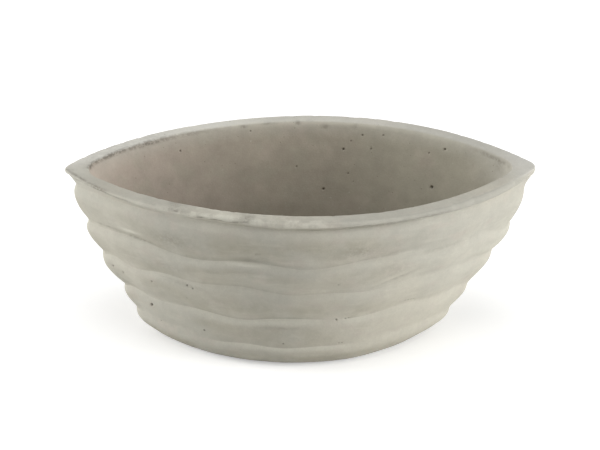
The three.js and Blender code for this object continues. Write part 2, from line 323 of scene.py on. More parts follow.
def tier_rows(head, foot, tier):
    """Rings of one tier from its foot up: a shoulder under the head, curling in at the foot."""
    lively = 1 - CALM_END * np.maximum(0, head.places[:, 0] / RIM_HALF_LENGTH)
    rows = [(foot, OUTSIDE._replace(lap=1))]
    for step in range(ROWS_PER_TIER - 1, 0, -1):
        even = step / ROWS_PER_TIER
        crowded = (1 - math.cos(even * math.pi)) / 2
        down = even + (crowded - even) * ROW_CROWDING
        curled = 1 - math.cos(down * math.pi / 2)
        swollen = math.sin(math.pi * down**SHOULDER_RISE)
        inward = down + (curled - down) * tier.curl * lively
        ring = head.towards(foot, inward, down, tier.belly * lively * swollen)
        rows.append((ring, OUTSIDE._replace(lap=down)))
    return rows


def lip_rows(undercut_foot, rim):
    """Rings of the lip, from the foot of its undercut over its rolled edge to the flat of the rim."""
    face_foot = wandering_ring(rim, LIP_FACE, LIP_FACE_AT_TIPS - LIP_FACE, LIP_WAVES)
    nudge(face_foot, LIP_NUDGES)
    face = RIM_LEVEL - face_foot.places[:, 2]
    near = 1 - smooth_step(*NEAR_SIDE, face_foot.places[:, 1])
    roll = RIM_EDGE_ROUND + np.maximum(face * NEAR_EDGE_ROLL - RIM_EDGE_ROUND, 0) * near
    face_head = rolled_ring(rim, roll, 0)
    rows = [(undercut_foot, OUTSIDE._replace(lap=1))]
    for inward, down, lap in UNDERCUT_ROWS:
        rows.append((face_foot.towards(undercut_foot, inward, down), OUTSIDE._replace(lap=lap)))
    rows.append((face_foot, OUTSIDE._replace(worn=LIP_FOOT_WEAR)))
    rows.append((face_foot.towards(face_head, 0.5, 0.5), OUTSIDE._replace(worn=LIP_FACE_WEAR)))
    for turned_share in np.linspace(0, 1, ROWS_ROUND_LIP + 1):
        rows.append((rolled_ring(rim, roll, turned_share), OUTSIDE._replace(worn=EDGE_WEAR)))
    return rows


def rolled_ring(rim, roll, share):
    """A ring part of the way round the rolled outer edge, from the lip's face at 0 to the flat at 1."""
    turn = share * math.pi / 2
    ring = level_ring(rim, RIM_LEVEL)
    ring.places[:, :2] -= (roll * (1 - math.cos(turn)))[:, None] * ring.outward
    ring.places[:, 2] -= roll * (1 - math.sin(turn))
    return ring


def rows_between(first, last, count, finish):
    """Evenly spaced rings between two, leaving out both."""
    shares = np.linspace(0, 1, count + 2)[1:-1]
    return [(first.towards(last, share, share), finish) for share in shares]


def smooth_through(stations, count, crowding):
    """Points of a smooth cubic curve through stations, crowded towards its start."""
    stations = np.array(stations)
    padded = np.vstack([2 * stations[0] - stations[1], stations, 2 * stations[-1] - stations[-2]])
    curve = []
    for share in (len(stations) - 1) * np.linspace(0, 1, count) ** crowding:
        i = min(int(share), len(stations) - 2)
        t = share - i
        before, start, end, after = padded[i : i + 4]
        slope_start = (end - before) / 2
        slope_end = (after - start) / 2
        curve.append(
            (2 * t**3 - 3 * t**2 + 1) * start
            + (t**3 - 2 * t**2 + t) * slope_start
            + (3 * t**2 - 2 * t**3) * end
            + (t**3 - t**2) * slope_end
        )
    return curve


def hollow_rows(rim, ledges):
    """Rings of the smooth hollow, from the rim's inner edge down to the flat of the floor."""
    floor_depth = RIM_LEVEL - FLOOR_LEVEL
    bend_depth = floor_depth - FLOOR_BEND_RISE

    def section(outline, thickness, depth):
        inner = outline.hollow(thickness)
        return np.array([inner.half_length, inner.half_width, RIM_LEVEL - depth])

    stations = [section(rim, WALL, RIM_EDGE_ROUND)]
    for ledge in ledges[1:]:
        if ledge.depth < bend_depth:
            thickness = WALL + (WALL_AT_FLOOR - WALL) * ledge.depth / floor_depth
            stations.append(section(ledge.outline, thickness, ledge.depth))
    lowest = next(ledge for ledge in ledges if ledge.depth >= bend_depth)
    corner = section(lowest.outline, WALL_AT_FLOOR, floor_depth)
    floor_edge = section(lowest.outline, WALL_AT_FLOOR + FLOOR_BEND, floor_depth)
    curve = smooth_through(stations, ROWS_DOWN_HOLLOW, ROWS_TO_RIM)
    for share in np.linspace(0, 1, ROWS_ROUND_BEND + 1)[1:]:
        left = 1 - share
        curve.append(left**2 * stations[-1] + 2 * share * left * corner + share**2 * floor_edge)
    rows = []
    for half_length, half_width, level in curve:
        outline = Outline(half_length, half_width, hollow_tip(half_width))
        rows.append((rounded_inwards(level_ring(outline, level)), INSIDE))
    return rows


def rounded_inwards(ring):
    """Moves a ring of the hollow back into the wall where the rim's inner edge is rounded."""
    far = smooth_step(*FAR_SIDE, ring.places[:, 1])
    radius = RIM_EDGE_ROUND + (FAR_EDGE_ROLL - RIM_EDGE_ROUND) * far
    rise = np.clip(radius - (RIM_LEVEL - ring.places[:, 2]), 0, radius)
    ring.places[:, :2] += (radius - np.sqrt(radius**2 - rise**2))[:, None] * ring.outward
    return ring


def rim_inner_edge(rim):
    """Rings over the rounded inner edge of the rim, from its flat down to the hollow."""
    rows = []
    for share in INNER_EDGE_ROWS:
        ring = level_ring(rim.hollow(WALL), RIM_LEVEL - RIM_EDGE_ROUND * share)
        rows.append((rounded_inwards(ring), OUTSIDE._replace(inside=share, worn=EDGE_WEAR)))
    return rows


def casting_rows():
    """Every ring of the casting in the order of its section, the last joined to the first."""
    rim = Outline(RIM_HALF_LENGTH, RIM_HALF_WIDTH, RIM_TIP_RADIUS)
    ledges = find_ledges()
    ledge_rings = [wandering_ring(*ledge) for ledge in ledges]
    for number, ring in enumerate(ledge_rings[:-1]):
        ring.ledge = number
        nudge(ring, [change for change in LEDGE_NUDGES if change.ledge == number])
    foot_flat = ledges[-1].outline.inset(FOOT_ROUND, TIER_TIP_RADIUS)
    drain = drain_outline(DRAIN_RADIUS, foot_flat)
    drain_shift = lean_at(UNDERSIDE)
    drain_foot = level_ring(drain, UNDERSIDE, drain_shift)
    drain_head = level_ring(drain, FLOOR_LEVEL, drain_shift)
    underside_edge = level_ring(foot_flat, UNDERSIDE)

    outside = []
    for tier, head, foot in reversed(list(zip(TIERS, ledge_rings, ledge_rings[1:]))):
        outside += tier_rows(head, foot, tier)
    foot_ring = outside.pop(0)[0]
    foot_edge = []
    for step in range(1, ROWS_ROUND_FOOT + 1):
        turn = step / ROWS_ROUND_FOOT * math.pi / 2
        ring = underside_edge.towards(foot_ring, math.sin(turn), 0)
        ring.places[:, 2] = UNDERSIDE + FOOT_ROUND * (1 - math.cos(turn))
        foot_edge.append((ring, OUTSIDE._replace(worn=FOOT_WEAR)))

    outer_edge = lip_rows(ledge_rings[0], rim)
    inner_edge = rim_inner_edge(rim)
    hollow = hollow_rows(rim, ledges)
    rim_top = OUTSIDE._replace(worn=RIM_TOP_WEAR)
    return [
        (drain_foot, HIDDEN),
        *rows_between(drain_foot, underside_edge, ROWS_UNDERNEATH, HIDDEN),
        (underside_edge, HIDDEN),
        *foot_edge,
        *outside,
        *outer_edge,
        *rows_between(outer_edge[-1][0], inner_edge[0][0], ROWS_ACROSS_RIM, rim_top),
        *inner_edge,
        *hollow,
        *rows_between(hollow[-1][0], drain_head, ROWS_ON_FLOOR, INSIDE),
        (drain_head, INSIDE._replace(true=1)),
        *rows_between(drain_head, drain_foot, ROWS_DOWN_DRAIN, HIDDEN),
    ]


# ---------- Hand-worked surface ----------

TROWEL_WAVE = 48
TROWEL_DEPTH = 0.55
TROWEL_STRETCH = (1, 1, 1.8)        # the trowel's waves are longer along the bowl than up it
TROWEL_LOST_INSIDE = 0.35
LUMP_SIZE = 11
LUMP_DEPTH = 0.14
LUMP_SHIFT = 300            # the lumps and the chips come from clouds of their own, this far off
CHIP_SHIFT = -200
CHIP_SIZE = 9
CHIP_DEPTH = 1.3
CHIP_WEAR = 0.35            # only edges more worn than this are chipped
CHIP_EDGE = (0.12, 0.6)     # how thick a cloud is where a chip begins, and where it is full
CALM_RIM = 0.6              # how much calmer the rim's top is, and from how far below it
CALM_RIM_BAND = (3, 0.5)
TRUE_ROUND_DRAIN = 18       # the floor stays flat this far from the drain's axis
TRUE_FADE = 14              # and eases into the hand-worked hollow over this much more


def smooth_step(low, high, value):
    share = np.clip((value - low) / (high - low), 0, 1)
    return share * share * (3 - 2 * share)


def cloud(places, size, octaves=3):
    """Smooth noise from about -1 to 1 at each place, with lumps about as large as size."""
    return np.array([noise.fractal(Vector(place / size), 0.9, 2.1, octaves) for place in places])


# Where the hand smoothed a ledge on the near side: the ledge, from 0 under the lip to 4 above the foot,
# the middle and the reach of the smoothing along the bowl, and how much of the edge is gone.
Smoothing = namedtuple("Smoothing", "ledge x reach amount")
SMOOTHINGS = [
    Smoothing(0, -112, 22, 0.8),
    Smoothing(0, -45, 30, 0.3),
    Smoothing(0, 112, 24, 0.6),
    Smoothing(0, 165, 50, 1.0),
    Smoothing(1, 0, 28, 0.5),
    Smoothing(1, 130, 55, 0.8),
    Smoothing(2, -15, 60, 0.5),
    Smoothing(2, 137, 60, 1.1),
    Smoothing(3, -112, 16, 0.6),
    Smoothing(3, 24, 12, 0.8),
    Smoothing(3, 58, 30, 0.1),
    Smoothing(3, 128, 42, 0.8),
    Smoothing(4, 60, 22, 0.8),
    Smoothing(4, 105, 50, 1.0),
    Smoothing(4, -92, 20, 0.5),
    Smoothing(4, -125, 45, 0.9),
]
SOFT_ALL_ROUND = (0.0, 0.1, 0.2, 0.1, 0.25)     # how much of each ledge's edge is gone all round
SMOOTHING_WANDER = 0.25     # how far that comes and goes, in stretches about as long as the next
WANDER_SIZE = 60
WANDER_SHIFT = 50           # from one ledge's cloud to the next
CREASE_FILL = 0.6           # how far the very bottom of each crease is filled in
SMOOTHING_ROWS = 4.5        # how many rings above and below a ledge the smoothing reaches
SMOOTHING_FALL = 1.4        # how sharply it falls off over them
NEAREST_LEDGE = (0.35, 0.65)        # down a tier, where its head's ledge gives way to its foot's


def soften_ledges(grid, ledge_rows):
    """Rounds the hollow edge under each tier, and says how much of each edge is gone along its row."""
    reach = int(SMOOTHING_ROWS * 2)
    steps = np.arange(-reach, reach + 1)
    weights = np.exp(-((steps / SMOOTHING_ROWS * SMOOTHING_FALL) ** 2))
    softened = grid.copy()
    gone_at = []
    for number, row in ledge_rows:
        ring = grid[row]
        gone = SMOOTHING_WANDER * cloud(ring + WANDER_SHIFT * number, WANDER_SIZE, 2)
        gone = SOFT_ALL_ROUND[number] + gone
        for smoothing in SMOOTHINGS:
            if smoothing.ledge == number:
                along = (ring[:, 0] - smoothing.x) / smoothing.reach
                gone = gone + smoothing.amount * (ring[:, 1] < 0) * np.exp(-(along**2))
        gone = np.clip(gone, 0, 1)
        if number > 0:
            grid[row] += ((grid[row - 1] + grid[row + 1]) / 2 - ring) * CREASE_FILL
            softened[row] = grid[row]
        for step in steps:
            window = grid[row + step + steps[0] : row + step + steps[-1] + 1]
            mean = np.tensordot(weights / weights.sum(), window, 1)
            share = gone * np.exp(-((step / SMOOTHING_ROWS) ** 2))
            softened[row + step] += (mean - grid[row + step]) * share[:, None]
        gone_at.append((row, gone))
    return softened, gone_at


def ledge_crispness(laps, columns, gone_at):
    """How much is left, at each point, of the nearest ledge: 1 where it is as it was moulded."""
    crisp = np.ones((len(laps), columns))
    stops = [(0, np.zeros(columns)), *gone_at, (len(laps), gone_at[-1][1])]
    for (foot_row, foot_gone), (head_row, head_gone) in zip(stops, stops[1:]):
        share = smooth_step(*NEAREST_LEDGE, laps[foot_row:head_row])[:, None]
        crisp[foot_row:head_row] = 1 - foot_gone * share - head_gone * (1 - share)
    return crisp


def outward_normals(grid):
    """Normals of a grid of points that closes on itself both ways."""
    round_bowl = np.roll(grid, -1, 1) - np.roll(grid, 1, 1)
    down_section = np.roll(grid, -1, 0) - np.roll(grid, 1, 0)
    normals = np.cross(round_bowl, down_section)
    return normals / np.linalg.norm(normals, axis=2, keepdims=True)


# A mark in the near outside, on the rim's top or in the far inside. x and up are its middle, where up
# is the height, or y on the rim's top. Then come its half length and half width, its depth, its tilt in
# radians, and how much dirt or painted shade darkens it, or below 0 how chalky it is.
Mark = namedtuple("Mark", "x up length width depth tilt soil")
NEAR_MARKS = [
    # Painted shadow in the lip's undercut, darkest right of the middle, and a painted shadow line under
    # the lip near -X.
    Mark(54, 150.6, 40, 1.3, 1.3, 0, 0.6),          # the undercut is deepest right of the middle
    Mark(-162, 153.2, 16, 1.1, 0.5, -0.05, 1.0),    # dark line under the lip near the -X point
    Mark(-150, 152.9, 6, 1.2, 0.4, 0, 0.6),
    Mark(-106, 155.6, 7, 1.1, 0.4, 0, 0.7),         # chips and rubbed places along the lip
    Mark(-84, 153.6, 3, 0.8, 0.6, 0, 0.7),
    Mark(-72, 153.2, 7, 1.0, 1.2, 0.03, 0.9),
    Mark(-58, 153.0, 4, 1.2, 1.2, 0, 0.9),
    Mark(-49, 155.4, 7, 2.0, 0.3, 0, 0.45),
    Mark(-136, 154.8, 7, 1.6, 0, 0, -0.35),
    # Painted shadow at the foot of the lip's undercut, further right.
    Mark(100, 151.8, 20, 1.3, 0.6, 0.02, 0.5),
    Mark(-68, 155.2, 12, 1.6, 0, 0, -0.9),
    Mark(8, 153.6, 13, 1.6, 0, 0, -0.4),
    # The dark in this crease and in the dents below is painted shade.
    Mark(77, 89.5, 17, 1.3, 0.8, 0.31, 0.4),        # long slanting crease in the third tier
    Mark(72, 95.5, 14, 1.6, 0.5, 0.30, 0.2),
    Mark(66, 117.5, 22, 2.6, 0.5, 0.10, 0.2),       # dents in the second tier
    Mark(110, 112.0, 24, 1.3, 0.6, 0.02, 0.2),
    Mark(-145, 120.2, 8, 1.8, -1.0, 0.02, -1.6),    # raised dabs where a lap was pressed down
    Mark(-48, 111.2, 13, 1.7, -2.0, 0, -1.8),
    Mark(85, 116.4, 8, 1.0, -0.4, 0.06, -0.7),
    Mark(53, 110.0, 9, 3.0, 0, 0, -0.5),
    # The dark in the creases beside the dabs is painted shade.
    Mark(-138, 114.4, 19, 1.2, 0.4, 0, 0.5),        # dark creases beside the dabs
    Mark(-166, 114.6, 10, 1.2, 0.4, 0.15, 0.5),
    Mark(-50, 115.4, 16, 1.2, 0.2, 0, 0.0),
    Mark(-39.5, 122, 2.2, 1.2, 0.4, 0, 0.5),
    Mark(-98, 77.5, 16, 1.4, 0.6, -0.12, 0.3),
    Mark(-20, 41.5, 20, 1.2, 0.5, 0.06, 0.3),
    Mark(-40, 66, 12, 3.5, 0.6, 0, 0.1),
    Mark(-39, 119, 9, 4, 0.5, 0, 0.1),
    # Painted shade on the lower parts of the tiers.
    Mark(-111, 125, 17, 8, 0.3, -0.05, 0.38),       # darker clouds low on the tiers
    Mark(-111, 94, 15, 6, 0.2, 0, 0.25),
    Mark(45, 124.5, 16, 6, 0.3, 0, 0.42),
    Mark(46, 96, 10, 8, 0.2, 0, 0.08),
    Mark(74, 104, 16, 7, 0.1, 0, 0.2),
    Mark(152, 90, 14, 5, -0.8, 0, -0.5),            # a hollow filled level at the +X end
]
TOP_MARKS = [
    # Painted shadow line under the lip's edge, carried over the top near -X.
    Mark(-187.5, -17, 13, 1.3, 0.3, -0.95, 0.95),   # the lip's line runs on over the top near -X
    Mark(-171, -37.2, 10, 1.3, 0.3, -0.83, 0.95),
    Mark(-196, -2, 5, 3, 0.2, 0, 0.35),
    Mark(-63, -96.4, 8, 4, 0, 0.2, -0.9),
    Mark(-48, -98.5, 7, 3, 0.2, 0.2, 0.4),
]
FAR_MARKS = [
    Mark(-180, 155.0, 6, 1.8, 0.3, 0, 0.8),
    Mark(-162, 155.4, 17, 1.5, 0.4, 0, 1.1),        # painted shadow under the inner edge near the -X point
    Mark(-130, 155.0, 15, 1.8, 0.5, 0, 1.0),
    Mark(-100, 155.0, 26, 1.5, 0.3, 0, 0.55),
    Mark(-47, 154.8, 3, 1.2, 0.8, 0, 0.7),          # chips in the inner edge
    Mark(-25, 155.5, 7, 0.8, 0.5, 0, 0.5),
    Mark(1, 155.0, 2.4, 1.5, 0.9, 0, 0.7),
    Mark(25, 151.8, 3.2, 1.8, 0.8, 0, 0.5),
    Mark(51, 153.0, 3, 2.0, 0.5, 0, 0.4),
    Mark(166, 153.4, 14, 1.4, 0.4, -0.05, 0.6),     # painted shadow where the rolled inner edge ends at +X
    Mark(171, 148.5, 3, 4.0, 0.3, 0, 0.4),
]
TOP_MARK_BAND = (4, 2.5)    # marks on the rim's top fade out between these, below it


def marked(places, finish):
    """How deep the marks lie at each place, and how much dirt or painted shade they hold."""
    x, y, z = places.T
    on_top = smooth_step(*(RIM_LEVEL - depth for depth in TOP_MARK_BAND), z)
    near = (1 - finish.inside) * (y < 0)
    within = (finish.inside + finish.worn).clip(0, 1) * (y > 0)
    depth = np.zeros(len(places))
    soil = np.zeros(len(places))
    for marks, up_axis, where in (
        (NEAR_MARKS, z, near),
        (TOP_MARKS, y, near * on_top),
        (FAR_MARKS, z, within),
    ):
        for mark in marks:
            right = x - mark.x
            up = up_axis - mark.up
            along = right * math.cos(mark.tilt) + up * math.sin(mark.tilt)
            across = up * math.cos(mark.tilt) - right * math.sin(mark.tilt)
            share = where * np.exp(-((along / mark.length) ** 2) - (across / mark.width) ** 2)
            depth += mark.depth * share
            soil += mark.soil * share
    return depth, soil


def work_surface(places, normals, finish, pressed):
    """Moves the smooth casting's points as the hand and the mould left them."""
    from_drain = np.hypot(places[:, 0] - lean_at(UNDERSIDE), places[:, 1])
    eased_in = smooth_step(TRUE_ROUND_DRAIN, TRUE_ROUND_DRAIN + TRUE_FADE, from_drain)
    trowelled = cloud(places * np.array(TROWEL_STRETCH), TROWEL_WAVE, 2)
    moved = TROWEL_DEPTH * (1 - TROWEL_LOST_INSIDE * finish.inside) * trowelled
    moved += LUMP_DEPTH * cloud(places + LUMP_SHIFT, LUMP_SIZE)
    chipped = smooth_step(*CHIP_EDGE, cloud(places + CHIP_SHIFT, CHIP_SIZE, 2))
    moved -= CHIP_DEPTH * np.clip(finish.worn - CHIP_WEAR, 0, 1) * chipped
    moved -= pressed
    calm = CALM_RIM * smooth_step(*(RIM_LEVEL - depth for depth in CALM_RIM_BAND), places[:, 2])
    return places + normals * (moved * (1 - finish.true) * eased_in * (1 - calm))[:, None]


# ---------- Air pits ----------

Pit = namedtuple("Pit", "place radius depth")
SEEN_PITS = [
    Pit((116.4, 48.0, 114.0), 1.6, 2.2),
    Pit((40.9, 86.3, 133.7), 1.3, 1.7),
    Pit((65.4, 81.2, 135.8), 0.9, 1.0),
    Pit((128.0, 54.4, 147.5), 1.2, 1.5),
    Pit((23.3, 76.9, 99.2), 1.3, 1.7),
    Pit((45.3, 78.8, 113.7), 0.9, 0.9),
    Pit((-127.5, -29.1, 41.2), 1.6, 2.1),
    Pit((-160.6, -14.2, 71.5), 1.0, 1.1),
    Pit((-151.9, -22.5, 68.9), 1.1, 1.1),
    Pit((-126.8, -44.0, 71.1), 0.9, 0.8),
    Pit((-97.1, -62.8, 76.7), 0.9, 0.8),
    Pit((-83.1, -54.5, 29.2), 1.1, 1.1),
    Pit((-16.4, -71.7, 24.3), 0.9, 0.8),
    Pit((28.1, -73.8, 49.0), 1.0, 1.2),
    Pit((35.7, -72.5, 49.2), 0.7, 0.6),
    Pit((38.2, -72.0, 49.4), 0.6, 0.5),
    Pit((87.6, -57.5, 57.4), 0.8, 0.8),
    Pit((90.0, -55.8, 57.0), 0.9, 1.0),
    Pit((92.4, -54.2, 56.6), 0.9, 1.1),
    Pit((94.8, -52.5, 56.2), 0.8, 0.8),
    Pit((-92.1, -65.0, 75.0), 0.8, 0.8),
    Pit((-97.3, -57.9, 62.8), 0.7, 0.6),
    Pit((30.8, -68.2, 23.2), 0.7, 0.6),
    Pit((33.4, -67.8, 23.1), 0.7, 0.6),
    Pit((57.9, 86.9, 146.9), 1.0, 0.9),
    Pit((75.7, 82.2, 148.8), 0.9, 0.7),
    Pit((47.5, 87.3, 140.9), 0.8, 0.7),
    Pit((-0.2, 84.2, 117.9), 0.9, 0.8),
    Pit((-41.3, 89.0, 150.4), 0.9, 0.6),
    Pit((-102.9, 64.7, 142.5), 1.1, 0.9),
    Pit((114.8, 60.5, 141.0), 0.9, 0.7),
    Pit((22.3, -95.4, 156.0), 1.3, 1.5),
]
PIT_SEED = 11
SCATTERED_PITS = 70
SEEN_PIT_CLEAR = 7          # no scattered pit comes closer to a seen one than this
DRAIN_CLEAR = 22            # nor to the drain's axis
PITS_OUTSIDE = 0.5          # how thickly they are scattered outside, and how much more so inside
PITS_ADDED_INSIDE = 0.9
PITS_LOST_IN_FRONT = 0.85   # and less so where the photograph shows each pit
PIT_RADIUS = 0.5
PIT_RADIUS_ADDED = 0.7      # the largest are larger by this, but most by far less
PIT_DEPTH = 1.1             # of a scattered pit, in radii
PIT_REACH = 2.6             # in radii: how far round a pit the mesh is made finer
PIT_CUTS = 3
PIT_EDGE = 0.72             # in radii: where a pit's wall is steepest, and how steep it is there
PIT_WALL = 6
PIT_END = 1.25              # in radii: how far from its middle a pit reaches


def scatter_pits(places, finish):
    """Pits all round the casting, fewer outside than inside, clear of the seen ones."""
    chance = np.random.default_rng(PIT_SEED)
    seen = np.array([pit.place for pit in SEEN_PITS])
    in_front = np.where(places[:, 1] < 0, 1 - finish.inside, finish.inside)
    weight = (PITS_OUTSIDE + PITS_ADDED_INSIDE * finish.inside) * (1 - PITS_LOST_IN_FRONT * in_front)
    weight = (1 - finish.true) * weight
    weight[np.hypot(places[:, 0] - lean_at(UNDERSIDE), places[:, 1]) < DRAIN_CLEAR] = 0
    picks = chance.choice(len(places), SCATTERED_PITS, replace=False, p=weight / weight.sum())
    pits = []
    for pick in picks:
        radius = PIT_RADIUS + PIT_RADIUS_ADDED * chance.random() ** 3
        if np.linalg.norm(seen - places[pick], axis=1).min() > SEEN_PIT_CLEAR:
            pits.append(Pit(tuple(places[pick]), radius, radius * PIT_DEPTH))
    return pits


def cut_pits(mesh, pits):
    """Makes the mesh finer round each pit, then sinks the pit into it."""
    body = bmesh.new()
    body.from_mesh(mesh)
    body.faces.ensure_lookup_table()
    sunk = body.verts.layers.float.get("pit")
    centres = np.array([face.calc_center_median() for face in body.faces]) / MM
    edges = set()
    for pit in pits:
        distance = np.linalg.norm(centres - np.array(pit.place), axis=1)
        reach = max(pit.radius * PIT_REACH, distance.min() + 0.01)
        for i in np.flatnonzero(distance < reach):
            edges.update(body.faces[int(i)].edges)
    bmesh.ops.subdivide_edges(body, edges=list(edges), cuts=PIT_CUTS, use_grid_fill=True)
    body.normal_update()
    corners = np.array([vertex.co for vertex in body.verts]) / MM
    body.verts.ensure_lookup_table()
    for pit in pits:
        nearest = int(np.linalg.norm(corners - np.array(pit.place), axis=1).argmin())
        normal = body.verts[nearest].normal.copy()
        distance = np.linalg.norm(corners - corners[nearest], axis=1)
        for i in np.flatnonzero(distance < pit.radius * PIT_END):
            vertex = body.verts[int(i)]
            fall = float(1 / (1 + (distance[i] / pit.radius / PIT_EDGE) ** PIT_WALL))
            vertex.co -= normal * (pit.depth * fall * MM)
            vertex[sunk] = max(vertex[sunk], fall)
    body.to_mesh(mesh)
    body.free()


# ---------- Meshes ----------

TURNING_STEPS = 96
WELD = 0.01                 # points of a turned profile closer than this are one
SHARP_ANGLE = math.radians(50)


def new_object(name, mesh):
    made = bpy.data.objects.new(name, mesh)
    bpy.context.scene.collection.objects.link(made)
    return made


def grid_faces(rows, columns):
    """Faces of a grid that closes on itself both ways, facing out."""
    row = np.arange(rows)[:, None]
    column = np.arange(columns)[None, :]
    here = row * columns
    below = (row + 1) % rows * columns
    beside = (column + 1) % columns
    corners = [here + column, here + beside, below + beside, below + column]
    return np.stack(corners, 2).reshape(-1, 4)


def make_bowl():
    """The casting, with what its finish needs to know kept on its points."""
    rows = casting_rows()
    grid = np.stack([ring.places for ring, _ in rows])
    ledge_rows = [(ring.ledge, row) for row, (ring, _) in enumerate(rows) if ring.ledge is not None]
    grid, gone_at = soften_ledges(grid, ledge_rows)
    columns = grid.shape[1]
    row_finish = np.array([finish for _, finish in rows], float)
    finish = Finish(*np.repeat(row_finish, columns, axis=0).T)
    crisp = ledge_crispness(Finish(*row_finish.T).lap, columns, gone_at)
    smooth_places = grid.reshape(-1, 3)
    pressed, soil = marked(smooth_places, finish)
    normals = outward_normals(grid).reshape(-1, 3)
    places = work_surface(smooth_places, normals, finish, pressed)

    mesh = bpy.data.meshes.new("casting")
    mesh.from_pydata((places * MM).tolist(), [], grid_faces(len(rows), columns).tolist())
    kept = {**finish._asdict(), "crisp": crisp.ravel(), "soil": soil}
    for name, values in kept.items():
        attribute = mesh.attributes.new(name, "FLOAT", "POINT")
        attribute.data.foreach_set("value", values.astype(np.float32))
    mesh.attributes.new("pit", "FLOAT", "POINT")
    cut_pits(mesh, SEEN_PITS + scatter_pits(places, finish))
    mesh.shade_smooth()
    return new_object("casting", mesh)


def turned(name, profile, place, steps=TURNING_STEPS):
    """A closed piece turned about its own upright axis, from a profile that starts and ends on it."""
    stops = [profile[0]]
    for stop in profile[1:]:
        if math.dist(stop, stops[-1]) > WELD:
            stops.append(stop)
    (_, foot_height), *sides, (_, head_height) = stops
    turns = np.arange(steps) / steps * 2 * math.pi
    places = [
        (radius * math.cos(turn), radius * math.sin(turn), height)
        for radius, height in sides
        for turn in turns
    ]
    foot = len(places)
    head = foot + 1
    last_ring = foot - steps
    places = np.array([*places, (0, 0, foot_height), (0, 0, head_height)]) + place
    faces = grid_faces(len(sides), steps)[:-steps].tolist()
    for column in range(steps):
        beside = (column + 1) % steps
        faces.append((foot, beside, column))
        faces.append((last_ring + column, last_ring + beside, head))
    mesh = bpy.data.meshes.new(name)
    mesh.from_pydata((places * MM).tolist(), [], faces)
    mesh.shade_smooth()
    mesh.set_sharp_from_angle(angle=SHARP_ANGLE)
    return new_object(name, mesh)


def arc(centre_x, centre_z, radius, start, end, steps=6):
    """Points of an arc in a profile, its angles in quarter turns from straight out."""
    turns = np.linspace(start, end, steps + 1) * math.pi / 2
    return [(centre_x + radius * math.cos(turn), centre_z + radius * math.sin(turn)) for turn in turns]


def make_plug():
    """The drain plug: stem with moulded grooves, flange with a raised bead, neck and knob."""
    stem = DRAIN_RADIUS - PLUG_CLEARANCE
    stem_foot = stem - PLUG_TAPER
    length = FLOOR_THICKNESS - PLUG_RECESS
    dimple = DIMPLE_DEPTH - length
    profile = [(0, dimple), (stem_foot - DIMPLE_WALL_TOP, dimple), (stem_foot - DIMPLE_WALL, -length)]
    profile += arc(stem_foot - MOULDED_ROUND, MOULDED_ROUND - length, MOULDED_ROUND, -1, 0)
    for groove in GROOVES:
        height = -length * (1 - groove)
        side = stem_foot + (stem - stem_foot) * groove
        floor = side - GROOVE_DEPTH
        profile += [(side, height - GROOVE_MOUTH), (floor, height - GROOVE_FLOOR)]
        profile += [(floor, height + GROOVE_FLOOR), (side, height + GROOVE_MOUTH)]
    profile += [(stem, 0), (FLANGE_RADIUS - FLANGE_DRAFT, 0)]
    profile += arc(FLANGE_RADIUS - MOULDED_ROUND, FLANGE_THICKNESS - MOULDED_ROUND, MOULDED_ROUND, 0, 1)
    profile += arc(FLANGE_RADIUS - BEAD_INSET, FLANGE_THICKNESS - BEAD_SINK, MOULDED_ROUND, 0.3, 1.7)
    neck_foot = NECK_RADIUS + NECK_FILLET
    profile += [(neck_foot, FLANGE_THICKNESS)]
    profile += arc(neck_foot, FLANGE_THICKNESS + NECK_FILLET, -NECK_FILLET, 1, 0)
    neck_top = FLANGE_THICKNESS + NECK_HEIGHT
    knob_centre = neck_top + math.sqrt(KNOB_RADIUS**2 - NECK_RADIUS**2)
    knob_start = -math.acos(NECK_RADIUS / KNOB_RADIUS) / (math.pi / 2)
    profile += arc(0, knob_centre, KNOB_RADIUS, knob_start, 1, KNOB_STEPS)[:-1]
    profile += [(0, knob_centre + KNOB_RADIUS)]
    return turned("plug", profile, (lean_at(UNDERSIDE), 0, FLOOR_LEVEL))


def make_pad(node):
    """A glued foam pad with a rolled edge and a faint crown on the face that meets the ground."""
    low, high = (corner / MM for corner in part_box(node))
    middle = (low + high) / 2
    radius = (high.x - low.x) / 2
    thickness = high.z - low.z
    profile = [(0, 0), (radius - PAD_CROWN_END, 0), (radius - PAD_CROWN_START, PAD_CROWN)]
    profile += arc(radius - PAD_ROLL - PAD_DRAFT, PAD_CROWN + PAD_ROLL, PAD_ROLL, -1, 0)
    profile += [(radius, thickness - PAD_BEVEL_HEIGHT), (radius - PAD_BEVEL, thickness), (0, thickness)]
    return turned(node + "_foam", profile, (middle.x, middle.y, low.z), PAD_STEPS)


# ---------- Materials ----------


class Wire:
    """A value on its way through a material. Sums on it add the Math nodes they need."""

    def __init__(self, material, socket):
        self.material = material
        self.socket = socket

    def maths(self, operation, *values):
        inputs = dict(enumerate(values))
        return self.material.node("ShaderNodeMath", {"operation": operation}, inputs, "Value")

    def __add__(self, other):
        return self.maths("ADD", self, other)

    def __sub__(self, other):
        return self.maths("SUBTRACT", self, other)

    def __rsub__(self, other):
        return self.maths("SUBTRACT", other, self)

    def __mul__(self, other):
        return self.maths("MULTIPLY", self, other)

    def __pow__(self, other):
        return self.maths("POWER", self, other)

    __radd__ = __add__
    __rmul__ = __mul__

    def clamped(self):
        return self.maths("MINIMUM", self.maths("MAXIMUM", self, 0.0), 1.0)


